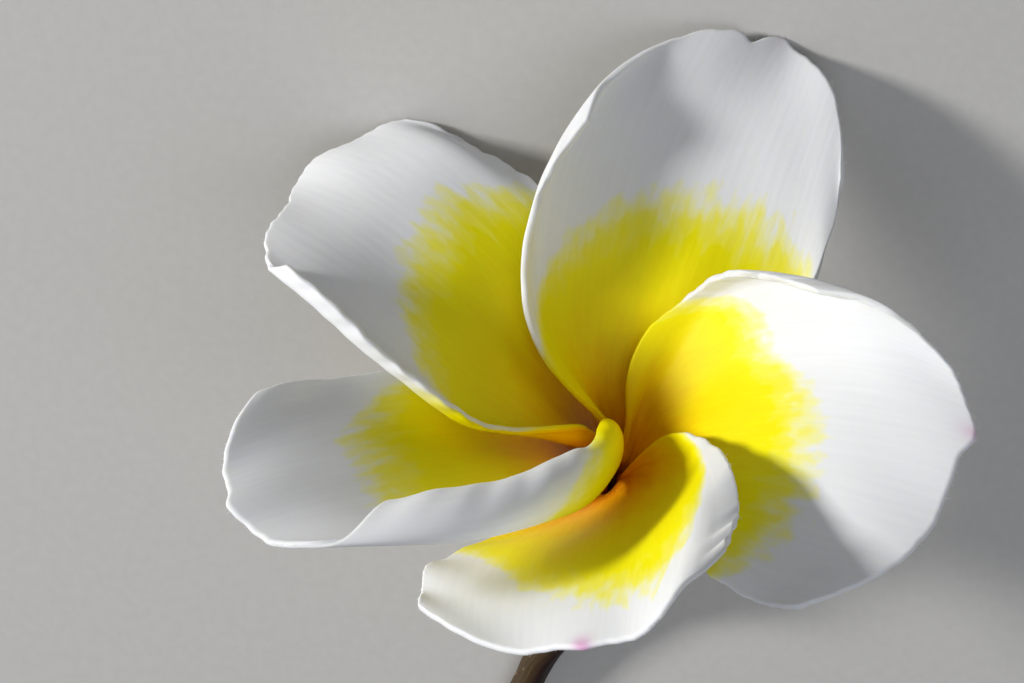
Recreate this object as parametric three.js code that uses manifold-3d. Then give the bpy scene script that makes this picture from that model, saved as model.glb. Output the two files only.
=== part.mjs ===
// A plumeria bloom, picked with its stalk and laid down.
//
// Five broad waxy petals stand in a pinwheel: seen from the front, the
// anticlockwise margin of each petal lies over the next petal and rolls
// inwards. They rise from the mouth of a slim corolla tube, which holds
// five small stamens and the pistil and stands in a five-lobed calyx on
// a bent stalk.
//
// Units are millimetres. The bloom is worked out in its own frame, with
// the origin in the tube's mouth and +Z along the flower's axis. It is
// then leaned over to rest on the stalk's end and two petals at z = 0.

import * as THREE from 'three';
import { mergeVertices } from 'three/addons/utils/BufferGeometryUtils.js';
import Module from 'manifold-3d';

const rad = THREE.MathUtils.degToRad;
const { clamp, lerp, smoothstep } = THREE.MathUtils;

// ---------------------------------------------------------------- dimensions

// The bloom turns about its axis, and the axis then leans towards -Y.
const AXIS_SPIN_DEG = 185.11;
const AXIS_LEAN_DEG = 56.33;
const PRESSED_FLAT = 0.17; // what the surface flattens where the bloom touches it
const THROAT_AT = new THREE.Vector3(-0.71, 3.17, 16.84 - PRESSED_FLAT);

const PETAL_THICKNESS = 0.7;
const PETAL_ROWS = 24; // base to tip
const PETAL_COLUMNS = 22; // margin to margin
const MARGIN_CROWDING = 0.25; // draws the columns together at the rolled margin

// The petals leave the tube's mouth from a ring of five places.
const BASE_RING_RADIUS = 2.4;
const BASE_HEIGHT = -1;
const BASE_HALF_WIDTH = 2.3;
const BASE_CUP_DEG = 50;
const FIRST_BASE_DEG = 58;
const PETAL_STEP_DEG = -72;

// What the petals have in common. "Over" is the half with the anticlockwise
// margin, which lies over the next petal, and "under" is the other half.
// heading, radius and height are the tip's place round the axis; rises are
// angles of the midline above the tube's mouth, and rolls turn the blade
// about it, easing from base to tip by rollTo. A half is cupped along its
// whole width. The over half also curls, from the share curlFrom on and over
// the part curlSpan of what is left, and its edge beyond stands free. The
// curl goes from its base to its tip value between easeFrom and easeTo, so
// that a rolled edge never meets its own blade. A half
// is held narrow near its base, up to narrowOver or narrowUnder along.
const PETAL = {
  baseRise: 80, baseReach: 9, tipRise: 10, tipReach: 16,
  baseRoll: 32, tipRoll: 6, rollTo: 0.5,
  peakOver: 0.76, peakUnder: 0.76, fillOver: 1.1, fillUnder: 1.1,
  cupOver: 45, cupUnder: 15,
  curlBase: 110, curlTip: 50, curlStart: 0.4, curlSpan: 0.5, easeFrom: 0.3, easeTo: 0.9,
  curlFromBase: 0.84, curlFrom: 0.84, curlFromTip: 0.84,
  narrowOver: 0.25, narrowUnder: 0.1,
  archOver: 0.2, archUnder: 0.2, roundOver: 2.8, roundUnder: 2.8,
  skew: 0, apexAt: 0, ripplePhase: 0, waves: [],
};

const PETALS = {
  petal_1: {
    ...PETAL, heading: 65.5, radius: 38, height: 25,
    over: 18.2, under: 13.5, peakUnder: 0.72, fillUnder: 0.75,
    curlBase: 180, curlTip: 60, curlStart: 0.25, curlSpan: 0.55, easeFrom: 0.03, easeTo: 0.45,
    curlFromBase: 0.5,
    archOver: 0.26, archUnder: 0.26, roundOver: 2.5, roundUnder: 2.5, skew: -0.04, apexAt: -0.08,
  },
  petal_2: {
    ...PETAL, heading: -24, radius: 34.8, height: 24, baseRise: 76, tipRise: 5,
    baseRoll: 30, tipRoll: 12,
    over: 17, under: 19, peakOver: 0.7, peakUnder: 0.95, fillOver: 0.95, fillUnder: 1.5,
    cupUnder: 5, curlBase: 170, curlTip: 60, curlStart: 0.25, curlSpan: 0.55, easeFrom: 0.08, easeTo: 0.45,
    curlFromBase: 0.55,
    archOver: 0.3, archUnder: 0.22, roundUnder: 3.6, skew: -0.02, apexAt: 0.15, ripplePhase: 1,
  },
  petal_3: {
    ...PETAL, heading: -95, radius: 34.8, height: 24, baseRise: 54, baseReach: 10, tipRise: 25,
    baseRoll: 38, tipRoll: 30,
    over: 15, under: 18.5, peakOver: 0.8, fillOver: 0.9, fillUnder: 0.7,
    cupOver: 30, cupUnder: 20, curlBase: 20, curlTip: -50,
    curlFromBase: 0.7, curlFrom: 0.7, curlFromTip: 0.7,
    archOver: 0.24, archUnder: 0.16, roundOver: 7, roundUnder: 3, skew: 0.13, apexAt: -0.02,
    ripplePhase: 2,
  },
  petal_4: {
    ...PETAL, heading: -150, radius: 40, height: 22,
    baseRoll: 15, tipRoll: 6, rollTo: 0.8, narrowOver: 0.3,
    over: 23.5, under: 12.5, peakOver: 0.6, peakUnder: 0.82, fillOver: 1, fillUnder: 0.65,
    cupOver: 58, cupUnder: 20, curlBase: 170, curlTip: 170, curlStart: 0.6, curlSpan: 1,
    curlFromBase: 0.25, curlFrom: 0.55, curlFromTip: 0.72,
    archUnder: 0.15, apexAt: -0.1, ripplePhase: 3,
  },
  petal_5: {
    ...PETAL, heading: 141, radius: 38.6, height: 15, tipRise: -30, tipReach: 18,
    tipRoll: 4,
    over: 18.2, under: 14.5, fillOver: 0.95, fillUnder: 1.2,
    cupOver: 30, cupUnder: 10, curlBase: 190, curlTip: 70, curlStart: 0.25, easeFrom: 0.06, easeTo: 0.5,
    curlFromBase: 0.5, curlFrom: 0.86, curlFromTip: 0.86,
    archOver: 0.12, archUnder: 0.12, skew: -0.07, apexAt: 0.1, ripplePhase: 4,
    waves: [{ rise: -3.5, along: 0.82, across: -1, spread: 0.16 }],
  },
};

// The small point at a petal's tip and the ripple round its rim.
const APEX_LENGTH = 0.02; // of the petal's length
const APEX_SPREAD = 0.12;
const RIPPLE = 0.35;
const RIPPLE_TURNS_ALONG = 3;
const RIPPLE_TURNS_ACROSS = 1.3;
const RIPPLE_POWER = 6;

// Tube, stamens, pistil and calyx: [height on the axis, radius] pairs run
// from the bottom up the outside and down the inside.
const TUBE_SIDES = 24;
const TUBE_OUTSIDE = [[-19.3, 2.1], [-17.5, 2.2], [-15, 2], [-10, 2], [-5.5, 2.3], [-3, 2.9], [-1.7, 3.6]];
const TUBE_INSIDE = [[-1.7, 2], [-3, 1.5], [-5, 1.2], [-10, 1.2], [-15.5, 1.35], [-17.4, 1.5], [-19.3, 1.5]];
const STAMEN_COUNT = 5;
const STAMEN_MIDDLE = -14.2;
const STAMEN_LENGTH = 2.6;
const STAMEN_RADIUS = 0.4;
const STAMEN_RING_RADIUS = 1.1;
const PISTIL_SHAPE = [
  [-19.6, 0], [-19.5, 0.8], [-18.8, 1.1], [-17.9, 0.95],
  [-17.2, 0.5], [-16.7, 0.55], [-16.2, 0.35], [-16, 0],
];
const PISTIL_SIDES = 14;

const CALYX_SIDES = 40;
const CALYX_LOBES = 5;
const CALYX_LOBE_HEIGHT = 1.5;
const CALYX_OUTSIDE = [[-20.9, 0], [-20.9, 1.4], [-20.5, 2.2], [-19.6, 2.8], [-18.2, 3.1], [-16.9, 3.2]];
const CALYX_INSIDE = [[-16.9, 2.6], [-18.2, 2.55], [-19.4, 2.45], [-20.05, 1.9], [-20.05, 0]];
const CALYX_RIM_FROM = -19; // the lobes grow out of the wall above this height

// The stalk drops from the calyx and bends away to its cut end.
const STALK_PATH = [
  [0, 0, -21.4], [-0.1, 0, -22.8], [-1.3, -0.4, -25.2], [-3.7, -1.4, -28.2],
  [-6.4, -2.7, -31.2], [-8.2, -4.4, -35], [-9.4, -5.9, -37.5],
];
const STALK_STEPS = 18;
const STALK_SIDES = 14;
const STALK_RADIUS_TOP = 2.2; // swollen below the calyx
const STALK_RADIUS = 1.65;
const STALK_SWELLING = 0.25; // share of the stalk's length

// ----------------------------------------------------------------- materials

const waxyPetal = new THREE.MeshStandardMaterial({ color: '#f4f0d8', roughness: 0.45, metalness: 0, side: THREE.DoubleSide });
const yellowTube = new THREE.MeshStandardMaterial({ color: '#e8c83a', roughness: 0.5, metalness: 0 });
const greenPistil = new THREE.MeshStandardMaterial({ color: '#c8c870', roughness: 0.6, metalness: 0 });
const greenCalyx = new THREE.MeshStandardMaterial({ color: '#6f7a3a', roughness: 0.6, metalness: 0 });
const redStalk = new THREE.MeshStandardMaterial({ color: '#5a2a20', roughness: 0.6, metalness: 0 });

// -------------------------------------------------------------- petal surface

function polar(radius, degrees, height) {
  const angle = rad(degrees);
  return new THREE.Vector3(radius * Math.cos(angle), radius * Math.sin(angle), height);
}

// The midline is a cubic curve from the base ring to the tip.
function midline(petal, order) {
  const baseAngle = FIRST_BASE_DEG + PETAL_STEP_DEG * order;
  const base = polar(BASE_RING_RADIUS, baseAngle, BASE_HEIGHT);
  const tip = polar(petal.radius, petal.heading, petal.height);
  const rising = polar(Math.cos(rad(petal.baseRise)), baseAngle, Math.sin(rad(petal.baseRise)));
  const ending = polar(Math.cos(rad(petal.tipRise)), petal.heading, Math.sin(rad(petal.tipRise)));
  return new THREE.CubicBezierCurve3(
    base,
    base.clone().addScaledVector(rising, petal.baseReach),
    tip.clone().addScaledVector(ending, -petal.tipReach),
    tip,
  );
}

// Half of the cross-section, from the midline (share 0) to the margin
// (share 1): arcs that turn by cup in all, and by curl more between the
// shares from and to. Returns [across, up].
function crossSection(share, width, cup, curl, from, to) {
  let [across, up, turned, start] = [0, 0, 0, 0];
  for (const [end, bend] of [[from, cup], [to, cup + curl / (to - from)], [1, cup]]) {
    const rate = Math.abs(bend) < 1e-3 ? 1e-3 : bend;
    const ending = turned + rate * (clamp(share, start, end) - start);
    across += (width / rate) * (Math.sin(ending) - Math.sin(turned));
    up += (width / rate) * (Math.cos(turned) - Math.cos(ending));
    turned = ending;
    start = end;
  }
  return [across, up];
}

// A point of the blade's middle surface: along runs from 0 at the base to 1
// at the tip, and side from -1 at the under margin to 1 at the over margin.
function bladePoint(petal, curve, along, side) {
  const share = Math.abs(side);
  const over = side >= 0;

  const apex = APEX_LENGTH * Math.exp(-(((side - petal.apexAt) / APEX_SPREAD) ** 2));
  const arch = over ? petal.archOver : petal.archUnder;
  const round = over ? petal.roundOver : petal.roundUnder;
  const reach = along * (1 - arch * share ** round + petal.skew * side)
    + apex * smoothstep(along, 0.8, 1);
  const point = curvePoint(curve, reach);
  const ahead = curveHeading(curve, reach);
  const axis = new THREE.Vector3(0, 0, 1);
  const level = axis.clone().addScaledVector(ahead, -axis.dot(ahead)).normalize();
  const flat = new THREE.Vector3().crossVectors(level, ahead);
  const roll = rad(lerp(petal.baseRoll, petal.tipRoll, smoothstep(along, 0, petal.rollTo)));
  const across = flat.clone().multiplyScalar(Math.cos(roll)).addScaledVector(level, Math.sin(roll));
  const front = level.clone().multiplyScalar(Math.cos(roll)).addScaledVector(flat, -Math.sin(roll));

  const full = over ? petal.over : petal.under;
  const peak = over ? petal.peakOver : petal.peakUnder;
  const fill = over ? petal.fillOver : petal.fillUnder;
  const narrow = over ? petal.narrowOver : petal.narrowUnder;
  const widening = Math.sin((Math.PI / 2) * (along / peak) ** fill) * smoothstep(along, 0, narrow);
  const width = lerp(BASE_HALF_WIDTH, full, widening);
  const cup = lerp(BASE_CUP_DEG, over ? petal.cupOver : petal.cupUnder, smoothstep(along, 0, 0.35));
  const curl = over ? lerp(petal.curlBase, petal.curlTip, smoothstep(along, petal.easeFrom, petal.easeTo))
    * lerp(petal.curlStart, 1, smoothstep(along, 0, 0.25)) : 0;
  const outerFrom = lerp(petal.curlFrom, petal.curlFromTip, smoothstep(along, 0.35, 1));
  const from = lerp(petal.curlFromBase, outerFrom, smoothstep(along, 0.15, 0.55));
  const to = lerp(from, 1, petal.curlSpan);
  const [outwards, up] = crossSection(share, width, rad(cup), rad(curl), from, to);
  point.addScaledVector(across, Math.sign(side) * outwards);

  let lift = up;
  const alongTurns = 2 * Math.PI * RIPPLE_TURNS_ALONG * along + petal.ripplePhase;
  const acrossTurns = 2 * Math.PI * RIPPLE_TURNS_ACROSS * side + petal.ripplePhase;
  lift += RIPPLE * share ** RIPPLE_POWER * smoothstep(along, 0.1, 0.4) * Math.sin(alongTurns);
  lift += RIPPLE * smoothstep(along, 0.8, 1) * Math.sin(acrossTurns);
  for (const wave of petal.waves) {
    const away = (along - wave.along) ** 2 + (side - wave.across) ** 2;
    lift += wave.rise * Math.exp(-away / wave.spread ** 2);
  }
  return point.addScaledVector(front, lift);
}

// The curve's own formulas, which also hold just past its end.
function curvePoint(curve, t) {
  const u = 1 - t;
  return new THREE.Vector3()
    .addScaledVector(curve.v0, u ** 3)
    .addScaledVector(curve.v1, 3 * u * u * t)
    .addScaledVector(curve.v2, 3 * u * t * t)
    .addScaledVector(curve.v3, t ** 3);
}

function curveHeading(curve, t) {
  const u = 1 - t;
  return new THREE.Vector3()
    .addScaledVector(curve.v0, -u * u)
    .addScaledVector(curve.v1, u * u - 2 * u * t)
    .addScaledVector(curve.v2, 2 * u * t - t * t)
    .addScaledVector(curve.v3, t * t)
    .normalize();
}

// The blade has two faces, split into triangles alike, and a rim between.
function petalGeometry(petal, order) {
  const curve = midline(petal, order);
  const half = PETAL_THICKNESS / 2;
  const step = 1e-3;
  const front = [];
  const back = [];
  for (let row = 0; row <= PETAL_ROWS; row += 1) {
    for (let column = 0; column <= PETAL_COLUMNS; column += 1) {
      const along = row / PETAL_ROWS;
      const even = (2 * column) / PETAL_COLUMNS - 1;
      const side = even + MARGIN_CROWDING * (1 - even * even);
      const middle = bladePoint(petal, curve, along, side);
      const lengthwise = bladePoint(petal, curve, clamp(along + step, 0, 1), side)
        .sub(bladePoint(petal, curve, clamp(along - step, 0, 1), side));
      const crosswise = bladePoint(petal, curve, along, clamp(side + step, -1, 1))
        .sub(bladePoint(petal, curve, along, clamp(side - step, -1, 1)));
      const normal = lengthwise.cross(crosswise).normalize();
      front.push(middle.clone().addScaledVector(normal, half));
      back.push(middle.clone().addScaledVector(normal, -half));
    }
  }
  return sheetGeometry(front, back, PETAL_ROWS, PETAL_COLUMNS);
}

// ------------------------------------------------------------ closed surfaces

function indexedGeometry(points, faces) {
  const geometry = new THREE.BufferGeometry();
  geometry.setAttribute('position', new THREE.Float32BufferAttribute(points.flatMap((p) => p.toArray()), 3));
  geometry.setIndex(faces.flat());
  geometry.computeVertexNormals();
  return geometry;
}

// Two grids of points, row by row, closed by a strip along their rim. The
// front grid's faces look out where the rows run ahead and the columns left.
function sheetGeometry(front, back, rows, columns) {
  const backFrom = front.length;
  const at = (row, column) => row * (columns + 1) + column;
  const faces = [];
  for (let row = 0; row < rows; row += 1) {
    for (let column = 0; column < columns; column += 1) {
      const [a, b] = [at(row, column), at(row + 1, column)];
      const [c, d] = [at(row + 1, column + 1), at(row, column + 1)];
      faces.push([a, b, c], [a, c, d]);
      faces.push([a + backFrom, c + backFrom, b + backFrom], [a + backFrom, d + backFrom, c + backFrom]);
    }
  }
  const rim = [];
  for (let row = 0; row < rows; row += 1) rim.push(at(row, 0));
  for (let column = 0; column < columns; column += 1) rim.push(at(rows, column));
  for (let row = rows; row > 0; row -= 1) rim.push(at(row, columns));
  for (let column = columns; column > 0; column -= 1) rim.push(at(0, column));
  rim.forEach((a, i) => {
    const b = rim[(i + 1) % rim.length];
    faces.push([b, a, a + backFrom], [b, a + backFrom, b + backFrom]);
  });
  return indexedGeometry([...front, ...back], faces);
}

// A lathe about +Z from [height, radius] pairs that run from the bottom, up
// the outside and down the inside.
function latheGeometry(profile, sides) {
  const points = profile.map(([height, radius]) => new THREE.Vector2(radius, height));
  const geometry = new THREE.LatheGeometry(points, sides);
  geometry.rotateX(Math.PI / 2);
  return geometry;
}

// Rings of points about a path, joined into a skin with a fan at each end.
function sweptGeometry(path, radiusAt, steps, sides) {
  const frames = path.computeFrenetFrames(steps);
  const points = [];
  const faces = [];
  for (let i = 0; i <= steps; i += 1) {
    const centre = path.getPointAt(i / steps);
    const radius = radiusAt(i / steps);
    for (let j = 0; j < sides; j += 1) {
      const angle = (2 * Math.PI * j) / sides;
      points.push(centre.clone()
        .addScaledVector(frames.normals[i], radius * Math.cos(angle))
        .addScaledVector(frames.binormals[i], radius * Math.sin(angle)));
    }
  }
  const at = (i, j) => i * sides + (j % sides);
  for (let i = 0; i < steps; i += 1) {
    for (let j = 0; j < sides; j += 1) {
      faces.push([at(i, j), at(i, j + 1), at(i + 1, j + 1)], [at(i, j), at(i + 1, j + 1), at(i + 1, j)]);
    }
  }
  const start = points.push(path.getPointAt(0)) - 1;
  const end = points.push(path.getPointAt(1)) - 1;
  for (let j = 0; j < sides; j += 1) {
    faces.push([start, at(0, j + 1), at(0, j)], [end, at(steps, j), at(steps, j + 1)]);
  }
  return indexedGeometry(points, faces);
}

// ------------------------------------------------------------ joins and cuts

const wasm = await Module();
wasm.setup();

function toSolid(geometry) {
  const bare = geometry.clone();
  bare.deleteAttribute('normal');
  bare.deleteAttribute('uv');
  const merged = mergeVertices(bare, 1e-4);
  return new wasm.Manifold(new wasm.Mesh({
    numProp: 3,
    vertProperties: merged.attributes.position.array,
    triVerts: new Uint32Array(merged.index.array),
  }));
}

function fromSolid(solid) {
  const mesh = solid.getMesh();
  const geometry = new THREE.BufferGeometry();
  geometry.setAttribute('position', new THREE.BufferAttribute(new Float32Array(mesh.vertProperties), 3));
  geometry.setIndex(new THREE.BufferAttribute(new Uint32Array(mesh.triVerts), 1));
  const flat = geometry.toNonIndexed();
  flat.computeVertexNormals();
  return flat;
}

// ------------------------------------------------------------------ assembly

const bloom = new THREE.Group();
bloom.position.copy(THROAT_AT);
bloom.rotation.set(rad(AXIS_LEAN_DEG), 0, rad(AXIS_SPIN_DEG));
bloom.updateMatrixWorld(true);

function addPiece(name, geometry, material) {
  const mesh = new THREE.Mesh(geometry, material);
  mesh.name = name;
  bloom.add(mesh);
}

// What reaches below the surface that the bloom lies on is pressed flat.
function pressedFlat(geometry) {
  const depth = 20;
  const below = new THREE.BoxGeometry(400, 400, depth);
  below.translate(0, 0, -depth / 2);
  below.applyMatrix4(bloom.matrixWorld.clone().invert());
  return fromSolid(toSolid(geometry).subtract(toSolid(below)));
}

// The tube holds its stamens on the wall, low down, round the pistil.
function tubeGeometry() {
  const profile = [...TUBE_OUTSIDE, ...TUBE_INSIDE, TUBE_OUTSIDE[0]];
  let solid = toSolid(latheGeometry(profile, TUBE_SIDES));
  for (let i = 0; i < STAMEN_COUNT; i += 1) {
    const stamen = new THREE.SphereGeometry(1, 10, 8);
    stamen.scale(STAMEN_RADIUS, STAMEN_RADIUS, STAMEN_LENGTH / 2);
    stamen.translate(STAMEN_RING_RADIUS, 0, STAMEN_MIDDLE);
    stamen.rotateZ((2 * Math.PI * i) / STAMEN_COUNT);
    solid = solid.add(toSolid(stamen));
  }
  return fromSolid(solid);
}

// The calyx's wall grows into five rounded lobes at its rim.
function calyxGeometry() {
  const geometry = latheGeometry([...CALYX_OUTSIDE, ...CALYX_INSIDE], CALYX_SIDES);
  const position = geometry.attributes.position;
  const rim = CALYX_INSIDE[0][0];
  for (let i = 0; i < position.count; i += 1) {
    const angle = Math.atan2(position.getY(i), position.getX(i));
    const lobe = Math.abs(Math.cos((CALYX_LOBES / 2) * angle));
    const share = smoothstep(position.getZ(i), CALYX_RIM_FROM, rim);
    position.setZ(i, position.getZ(i) + CALYX_LOBE_HEIGHT * lobe * share);
  }
  return geometry;
}

function stalkGeometry() {
  const path = new THREE.CatmullRomCurve3(STALK_PATH.map((p) => new THREE.Vector3(...p)));
  const radiusAt = (t) => lerp(STALK_RADIUS_TOP, STALK_RADIUS, smoothstep(t, 0, STALK_SWELLING));
  return sweptGeometry(path, radiusAt, STALK_STEPS, STALK_SIDES);
}

Object.entries(PETALS).forEach(([name, petal], order) => {
  addPiece(name, pressedFlat(petalGeometry(petal, order)), waxyPetal);
});
addPiece('corolla_tube', tubeGeometry(), yellowTube);
addPiece('pistil', latheGeometry(PISTIL_SHAPE, PISTIL_SIDES), greenPistil);
addPiece('calyx', calyxGeometry(), greenCalyx);
addPiece('pedicel', pressedFlat(stalkGeometry()), redStalk);

const part = new THREE.Group();
part.add(bloom);
export default part;
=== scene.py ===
# %% [markdown]
# # A plumeria flower, picked and laid down
#
# The flower has five broad waxy petals in a pinwheel. They rise from the mouth of a slim
# tube, which holds the stamens and the pistil and stands in a small green calyx on a bent
# stalk. The solids of the frame already have these forms. Here each of them gets a skin:
# thin blades with rounded rims, veins, hairs, and the colours of the real flower.
#
# Every new surface is a function of two parameters, worked out as whole numpy arrays. Petals
# and stalk could be sculpted or made with modifiers instead, but a formula keeps the skin close
# to the solid, and its two parameters say how far along and across the petal a point lies,
# which is what the colours and the veins follow.

# %% Load the frame
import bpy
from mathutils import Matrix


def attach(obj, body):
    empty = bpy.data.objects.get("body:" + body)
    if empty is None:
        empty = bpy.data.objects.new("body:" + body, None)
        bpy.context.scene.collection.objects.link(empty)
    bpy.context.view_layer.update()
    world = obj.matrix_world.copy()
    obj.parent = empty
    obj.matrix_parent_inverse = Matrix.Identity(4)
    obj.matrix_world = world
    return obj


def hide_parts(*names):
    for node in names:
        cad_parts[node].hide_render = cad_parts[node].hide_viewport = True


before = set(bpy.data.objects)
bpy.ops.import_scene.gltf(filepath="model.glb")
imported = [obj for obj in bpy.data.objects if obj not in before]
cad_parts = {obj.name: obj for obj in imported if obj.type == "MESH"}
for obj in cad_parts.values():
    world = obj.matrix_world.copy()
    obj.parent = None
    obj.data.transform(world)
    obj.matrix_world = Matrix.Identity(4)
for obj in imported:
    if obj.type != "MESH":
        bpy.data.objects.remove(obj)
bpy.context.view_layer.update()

print("frame pieces:", ", ".join(sorted(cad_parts)))

# %% [markdown]
# ## Lengths, angles and easing
#
# The flower is worked out in millimetres and turned to metres only when a mesh is made. Two
# small functions do most of the shaping. One blends between two values. The other is the
# s-curve that lets a form begin and end without a crease.

# %% Small helpers
import math

import bpy
import numpy as np
from mathutils import Matrix, Vector

MM = 0.001


def lerp(start, end, share):
    """start + (end - start) * share."""
    return start + (end - start) * share


def ease(value, start, end):
    """0 up to start, 1 from end on, and 3t^2 - 2t^3 between, where t runs from 0 to 1."""
    t = np.clip((value - start) / (end - start), 0.0, 1.0)
    return t * t * (3.0 - 2.0 * t)


def unit(vectors):
    """Each vector over its own length."""
    return vectors / np.linalg.norm(vectors, axis=-1, keepdims=True)


def polar(radius, degrees, height):
    """(radius cos a, radius sin a, height)."""
    angle = math.radians(degrees)
    return np.array([radius * math.cos(angle), radius * math.sin(angle), height])


# %% [markdown]
# ## The bloom's own frame
#
# A flower is easiest to describe standing up: the origin in the mouth of its tube and Z along
# its axis. A picked flower lies on its side, though, so the finished points are turned about
# the axis, leaned over and moved to where the flower rests on two petals and its stalk. What
# would sink into the surface there is pressed flat.

# %% From the bloom's frame to the surface it lies on
AXIS_SPIN = math.radians(185.11)
AXIS_LEAN = math.radians(56.33)
THROAT_AT = np.array([-0.71, 3.17, 16.67])

spin = np.array([[math.cos(AXIS_SPIN), -math.sin(AXIS_SPIN), 0],
                 [math.sin(AXIS_SPIN), math.cos(AXIS_SPIN), 0],
                 [0, 0, 1]])
lean = np.array([[1, 0, 0],
                 [0, math.cos(AXIS_LEAN), -math.sin(AXIS_LEAN)],
                 [0, math.sin(AXIS_LEAN), math.cos(AXIS_LEAN)]])
BLOOM_TURN = lean @ spin


def laid_down(points):
    """lean * spin * point + throat, with heights below 0 raised to 0."""
    placed = points @ BLOOM_TURN.T + THROAT_AT
    placed[..., 2] = np.maximum(placed[..., 2], 0.0)
    return placed


# %% [markdown]
# ## The midline and the cross-section of a petal
#
# A petal is a blade along a curved midline, from the tube's mouth to the tip. Across the
# midline it is a shallow trough. One half, here called the over half, lies over the next
# petal and rolls inwards near its edge. The other half lies under its neighbour and stays
# nearly flat. Both halves are arcs, so their turn in degrees says how much they curl.

# %% Petal midline and section
def midline(petal, reach):
    """Point and heading of the cubic curve (1-t)^3 A + 3(1-t)^2 t B + 3(1-t) t^2 C + t^3 D at
    t = reach. Below 0 the curve runs on down the tube, where its slope fades out."""
    base = polar(BASE_RING_RADIUS, petal["base_angle"], BASE_HEIGHT)
    tip = polar(petal["radius"], petal["heading"], petal["height"])
    rise = math.radians(petal["base_rise"])
    end = math.radians(petal["tip_rise"])
    rising = polar(math.cos(rise), petal["base_angle"], math.sin(rise))
    ending = polar(math.cos(end), petal["heading"], math.sin(end))
    corners = [base, base + petal["base_reach"] * rising, tip - petal["tip_reach"] * ending, tip]
    t = np.maximum(reach, 0.0)[..., None]
    u = 1 - t
    point = (u**3 * corners[0] + 3 * u * u * t * corners[1] + 3 * u * t * t * corners[2]
             + t**3 * corners[3])
    heading = (u * u * (corners[1] - corners[0]) + 2 * u * t * (corners[2] - corners[1])
               + t * t * (corners[3] - corners[2]))
    down = np.maximum(-reach, 0.0)[..., None] * 3 * petal["base_reach"]
    fading = np.exp(-down / CLAW_BEND)
    outwards = polar(1, petal["base_angle"], 0)
    slope = math.cos(rise) / math.sin(rise)
    point = point - outwards * (slope * CLAW_BEND * (1 - fading) + CLAW_TAPER * down)
    point[..., 2] -= down[..., 0]
    upright = outwards * (slope * fading + CLAW_TAPER) + np.array([0.0, 0.0, 1.0])
    return point, unit(np.where(t > 0, heading, upright))


def cross_section(share, width, cup, curl, curl_from, curl_to):
    """Across and up at a share of the half width. Three arcs follow each other. Each turns at
    a rate r from the angle a to b, and adds width / r * (sin b - sin a) across and
    width / r * (cos a - cos b) up. The middle one turns by curl more than the cup asks."""
    across, up, turned, start = 0.0, 0.0, 0.0, 0.0
    for end, rate in ((curl_from, cup), (curl_to, cup + curl / (curl_to - curl_from)), (1.0, cup)):
        rate = np.where(np.abs(rate) < 1e-3, 1e-3, rate)
        ending = turned + rate * (np.clip(share, start, end) - start)
        across = across + width / rate * (np.sin(ending) - np.sin(turned))
        up = up + width / rate * (np.cos(turned) - np.cos(ending))
        turned, start = ending, end
    return across, up


# %% [markdown]
# ## The blade
#
# Along and side place a point on the blade: along runs from the base to the tip and side from
# -1 at the under margin to 1 at the over margin. The rounded end of the petal comes from
# letting the reach fall off towards both margins. Real margins are never even: they
# ripple gently, they are nicked here and there, and the rolled one is crimped in small bumps.
# The crimp's waves are kept long and low, since a bend tighter than half the blade's thickness
# would fold the blade into itself.

# %% Blade surface
BASE_RING_RADIUS = 2.4
BASE_HEIGHT = -1.0
BASE_HALF_WIDTH = 2.3
BASE_CUP = 50.0
CLAW_BEND = 1.2
CLAW_TAPER = 0.03
APEX_LENGTH = 0.02
APEX_SPREAD = 0.12
RIPPLE = 0.35
SOFT_WAVE = 0.12
CRIMP = 0.07
CRIMP_LENGTHS = (2.2, 4.2)
RAG_OF_REACH = 0.0016
RAG_OF_WIDTH = 0.004
LENGTH_MM = 38.0
HALF_WIDTH_MM = 17.0
AXIS = np.array([0.0, 0.0, 1.0])


def waves(seed, along, side, wavelengths, count=9):
    """Sum of count sines of random direction, length in mm and phase, over sqrt(count)."""
    rng = np.random.default_rng(seed)
    total = np.zeros(np.broadcast(along, side).shape)
    for _ in range(count):
        turn = rng.uniform(0, 2 * math.pi)
        length = rng.uniform(*wavelengths)
        phase = rng.uniform(0, 2 * math.pi)
        walked = LENGTH_MM * along * math.cos(turn) + HALF_WIDTH_MM * side * math.sin(turn)
        total += np.sin(walked * 2 * math.pi / length + phase)
    return total / math.sqrt(count)


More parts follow.
